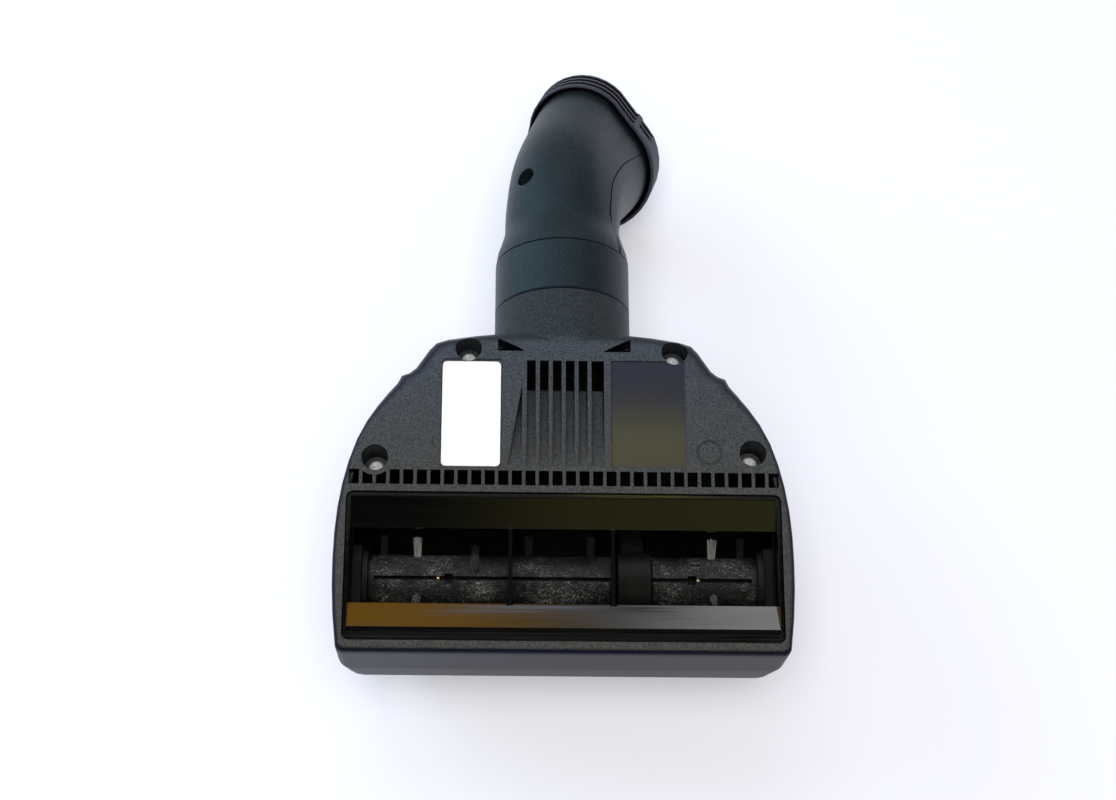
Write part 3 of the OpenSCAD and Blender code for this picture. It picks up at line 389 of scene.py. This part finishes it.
# Type plate: a bare sticker of white polyester film with rounded corners, in its recess on the sole.
# Nothing is printed on it. The film is satin and lies very slightly wavy.
film, shader = finish("polyester_film", "#e9ebe7", 0.32)
place = add(film, "TexCoord")
waves = add(film, "TexNoise", {"Scale": 1 / 0.012, "Detail": 1.0}, {"Vector": place.outputs["Object"]})
film.links.new(shades(film, waves.outputs["Fac"], [(0.3, "#e9ebe7"), (0.7, "#eef0ec")]), shader.inputs["Base Color"])
relief(film, shader, waves.outputs["Fac"], 0.00008, 0.00015)
skin("blank_label", "housing", owner(film), angle=25)

# Swivel ring: the loose ring between neck and elbow, turned smooth, with a thin chamfer at both edges.
# Same satin ABS as the top shell.
skin("swivel_ring", "elbow", owner(satin), angle=25)

# Elbow: two half shells of the same ABS, joined along a fine parting line and held by one sunk screw.
# Dirt sits in the parting line, here a bead 0.4 mm wide that is sunk into the joint.
groove, shader = finish("groove_dirt", "#060708", 0.9, **{"Specular IOR Level": 0.1})
place = add(groove, "TexCoord")
crumbs = add(groove, "TexNoise", {"Scale": 1 / 0.0006, "Detail": 3.0}, {"Vector": place.outputs["Object"]})
groove.links.new(shades(groove, crumbs.outputs["Fac"], [(0.4, "#040505"), (0.7, "#0b0c0d")]), shader.inputs["Base Color"])
relief(groove, shader, crumbs.outputs["Fac"], 0.00005, 0.0001)
for name in ("elbow_upper_shell", "elbow_lower_shell"):
    skin(name, "elbow", owner(satin), angle=40)

bend = (0.0167, 0.0448, math.radians(40.3))
swing = math.radians(20.6)
low = Vector((math.sin(swing), 0, -math.cos(swing)))
aside = Vector((-math.cos(swing), 0, -math.sin(swing)))
arc = bend[1] * bend[2]
full = bend[0] + arc + 0.026


def on_elbow(run, turn, out):
    """A point of the elbow's skin: way along it, angle round it and height above the skin."""
    angle = max(0.0, min(bend[2], (run - bend[0]) / bend[1]))
    ahead = Vector((0, math.cos(angle), 0)) + low * math.sin(angle)
    inward = low * math.cos(angle) - Vector((0, math.sin(angle), 0))
    rest = run - bend[0] if run < bend[0] else max(0.0, run - bend[0] - arc)
    middle = Vector((0, 0.125528 + bend[0] + bend[1] * math.sin(angle), 0.060734))
    middle += low * bend[1] * (1 - math.cos(angle)) + ahead * rest
    u = max(0.0, min(1.0, (run - 0.0148) / (full - 0.0148)))
    t = max(0.0, min(1.0, run / 0.0148))
    radius = 0.025 - 0.0034 * t * t * (3 - 2 * t) + 0.0024 * u + out
    return middle + inward * (0.0068 * u + radius * math.cos(turn)) + aside * radius * math.sin(turn)


def seam_turn(run):
    """Angle of the parting line round the elbow, which waves a little."""
    steps = ((0.0, 260), (0.01, 261), (0.02, 255), (0.03, 253), (0.045, 256), (full, 262))
    for (r0, t0), (r1, t1) in zip(steps, steps[1:]):
        if run <= r1:
            share = (run - r0) / (r1 - r0)
            return t0 + (t1 - t0) * share * share * (3 - 2 * share)
    return steps[-1][1]


seam = bmesh.new()
for mirror in (1, -1):
    rings = []
    for k in range(73):
        run = 0.0004 + (full - 0.0012) * k / 72
        turn = math.radians(seam_turn(run) * mirror)
        rings.append([seam.verts.new(on_elbow(run, turn + side * 0.0085, out))
                      for side, out in ((-1, 0.00004), (1, 0.00004), (1, -0.0003), (-1, -0.0003))])
    for one, two in zip(rings, rings[1:]):
        for k in range(4):
            seam.faces.new((one[k], one[(k + 1) % 4], two[(k + 1) % 4], two[k]))
    seam.faces.new(rings[0][::-1])
    seam.faces.new(rings[-1])
bmesh.ops.recalc_face_normals(seam, faces=seam.faces)
seam_mesh = bpy.data.meshes.new("parting_line")
seam.to_mesh(seam_mesh)
seam.free()
seam_mesh.materials.append(owner(groove))
parting = bpy.data.objects.new("parting_line", seam_mesh)
bpy.context.collection.objects.link(parting)
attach(parting, "elbow")

# Hose collar: the ribbed grip ring round the elbow's end, moulded in soft black PVC with a violet cast.
# Matt on the ribs, with painted shade darkening the grooves.
soft, shader = finish("soft_pvc", "#1d1d25", 0.55, **{"Specular IOR Level": 0.22})
place = add(soft, "TexCoord")
fine = add(soft, "TexNoise", {"Scale": 1 / 0.0007, "Detail": 3.0}, {"Vector": place.outputs["Object"]})
tone = shades(soft, fine.outputs["Fac"], [(0.35, "#34343f"), (0.7, "#40404e")])
# painted shade: ambient occlusion turns the grooves between the ribs nearly black
painted_groove_shade = add(soft, "AmbientOcclusion", {"Distance": 0.0024, "samples": 8})
depth = shades(soft, painted_groove_shade.outputs["AO"], [(0.82, "#020203"), (0.985, "#ffffff")])
mixed = add(soft, "Mix", {"data_type": "RGBA", "blend_type": "MULTIPLY", "Factor": 1.0}, {6: tone, 7: depth})
soft.links.new(mixed.outputs[2], shader.inputs["Base Color"])
relief(soft, shader, fine.outputs["Fac"], 0.0001, 0.0005)
skin("hose_collar", "elbow", owner(soft), angle=40)
plated, shader = finish("plated_brass", "#cfa95a", 0.25, Metallic=1.0)
place = add(plated, "TexCoord")
scale = add(plated, "TexNoise", {"Scale": 1 / 0.0009, "Detail": 3.0}, {"Vector": place.outputs["Object"]})
relief(plated, shader, scale.outputs["Fac"], 0.00002, 0.0002)
dress(("contact_pins",), plated)

# Studio: a plain white floor that runs out of sight, a soft window light from the left and the camera.
bpy.ops.mesh.primitive_plane_add(size=12, location=(0, 0, -0.0002))
floor = bpy.context.active_object
floor.name = "studio_floor"
paper, shader = finish("white_paper", "#cdced7", 0.9)
out = paper.nodes["Material Output"]
ray = add(paper, "LightPath")
seen = add(paper, "Math", {"operation": "MAXIMUM"}, {0: ray.outputs["Is Camera Ray"], 1: ray.outputs["Is Glossy Ray"]})
seen = add(paper, "Math", {"operation": "MAXIMUM"}, {0: seen.outputs[0], 1: ray.outputs["Is Transmission Ray"]})
lift = add(paper, "Math", {"operation": "MULTIPLY", 1: 0.31}, {0: seen.outputs[0]})
glow = add(paper, "Emission", {"Color": linear("#f7f8fc")}, {"Strength": lift.outputs[0]})
both = add(paper, "AddShader", links={0: shader.outputs[0], 1: glow.outputs[0]})
paper.links.new(both.outputs[0], out.inputs["Surface"])
floor.data.materials.append(owner(paper))
floor.select_set(False)

world = bpy.data.worlds.new("studio")
bpy.context.scene.world = world
world.use_nodes = True
sky = world.node_tree
back = sky.nodes["Background"]
ray = add(sky, "LightPath")
seen = add(sky, "Math", {"operation": "MAXIMUM"}, {0: ray.outputs["Is Camera Ray"], 1: ray.outputs["Is Transmission Ray"]})
level = add(sky, "MapRange", {"To Min": 0.3, "To Max": 1.0}, {"Value": seen.outputs[0]})
sky.links.new(level.outputs[0], back.inputs["Strength"])
back.inputs["Color"].default_value = linear("#f6f8fc")

for name, spot, aim, size, power, tint in (
        ("window_light", (-2.3, 1.2, 1.4), (0, 0.05, 0.05), 1.7, 44.0, "#cdebf6"),
        ("ceiling_light", (-0.6, 1.8, 3.0), (0, 0.05, 0.05), 1.8, 26.0, "#e2e6ff"),
        ("overhead_light", (-0.1, -0.7, 2.8), (0, 0.05, 0.05), 1.5, 62.0, "#fffaf4")):
    bpy.ops.object.light_add(type="AREA", location=spot)
    lamp = bpy.context.active_object
    lamp.name = name
    lamp.data.size = size
    lamp.data.energy = power
    lamp.data.color = linear(tint)[:3]
    lamp.visible_glossy = name != "overhead_light"
    lamp.rotation_euler = (Vector(aim) - Vector(spot)).to_track_quat("-Z", "Y").to_euler()
    lamp.select_set(False)

# Reflector cards: they only show in glossy faces, as the coloured walls of the room do in the polished lips.
card_look = {
    "lip_card": ((0.045, 0.866, 0.888), (132.6, 0, 0), (0.6, 0.3),
                 [(0.3, "#c78f20"), (0.5, "#7a6a46"), (0.57, "#7c7d82"), (0.74, "#f6f7f7")], 4.6),
    "roof_card": ((0.02, -0.095, 0.5), (180, 0, 0), (0.4, 0.13),
                  [(0.3, "#0a0a08"), (0.48, "#9b9450"), (0.75, "#b3ab5c")], 1.0),
    "gutter_card": ((0.02, 0.07, 0.5), (180, 0, 0), (0.44, 0.06), [(0.0, "#050505"), (1.0, "#060606")], 1.0),
    "panel_card": ((0.06, 0.15, 0.5), (180, 0, 0), (0.08, 0.036), [(0.0, "#d6cb4c"), (1.0, "#c8bd42")], 4.6)}
for name, (spot, turn, size, steps, power) in card_look.items():
    bpy.ops.mesh.primitive_plane_add(size=1, location=(0, 0, 0))
    card = bpy.context.active_object
    card.name = name
    glow, shader = finish(name, "#000000", 1.0)
    place = add(glow, "TexCoord")
    part = add(glow, "SeparateXYZ", links={"Vector": place.outputs["Object"]})
    along = add(glow, "MapRange", {"From Min": spot[0] - size[0] / 2, "From Max": spot[0] + size[0] / 2},
                {"Value": part.outputs["X"]})
    light = add(glow, "Emission", {"Strength": power},
                {"Color": shades(glow, along.outputs[0], steps)})
    glow.links.new(light.outputs[0], glow.nodes["Material Output"].inputs["Surface"])
    card.data.materials.append(owner(glow))
    card.data.transform(Matrix.Translation(spot) @ Matrix.Rotation(math.radians(turn[0]), 4, "X")
                        @ Matrix.Diagonal((*size, 1, 1)))
    for kind in ("camera", "diffuse", "transmission", "shadow", "volume_scatter"):
        setattr(card, "visible_" + kind, False)
    card.select_set(False)

bpy.ops.object.camera_add(location=(-0.023743, -0.247457, 0.769820),
                          rotation=[math.radians(v) for v in (24.196, -1.784, -0.022)])
camera = bpy.context.active_object
camera.data.lens = 68.42
camera.data.sensor_width = 36
bpy.context.scene.camera = camera
bpy.context.scene.view_settings.view_transform = "Standard"
